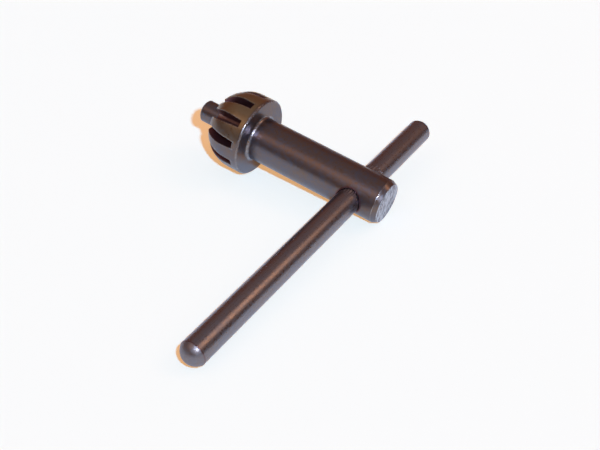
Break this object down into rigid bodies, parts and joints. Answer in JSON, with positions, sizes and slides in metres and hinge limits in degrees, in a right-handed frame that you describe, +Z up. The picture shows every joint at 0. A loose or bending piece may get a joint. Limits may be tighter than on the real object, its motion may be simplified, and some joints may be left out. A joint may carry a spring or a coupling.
{
  "type": "drill chuck key",
  "caption": "T-handle drill chuck key in blackened steel: pilot pin, straight-toothed bevel pinion, round shank and an offset round bar pressed through it.",
  "frame": {"origin": "on the surface that the key lies on, under the middle of its bounding box", "axes": "+Z up, +Y along the handle bar towards its short side, +X along the shank towards its rear end"},
  "size_m": [0.0538, 0.0962, 0.0202],
  "materials": {
    "key_steel": "black oxide, semi-gloss",
    "bar_steel": "black oxide, semi-gloss"
  },
  "bodies": {
    "root": {"key_body": "key_steel", "handle_bar": "bar_steel"}
  },
  "joints": []
}
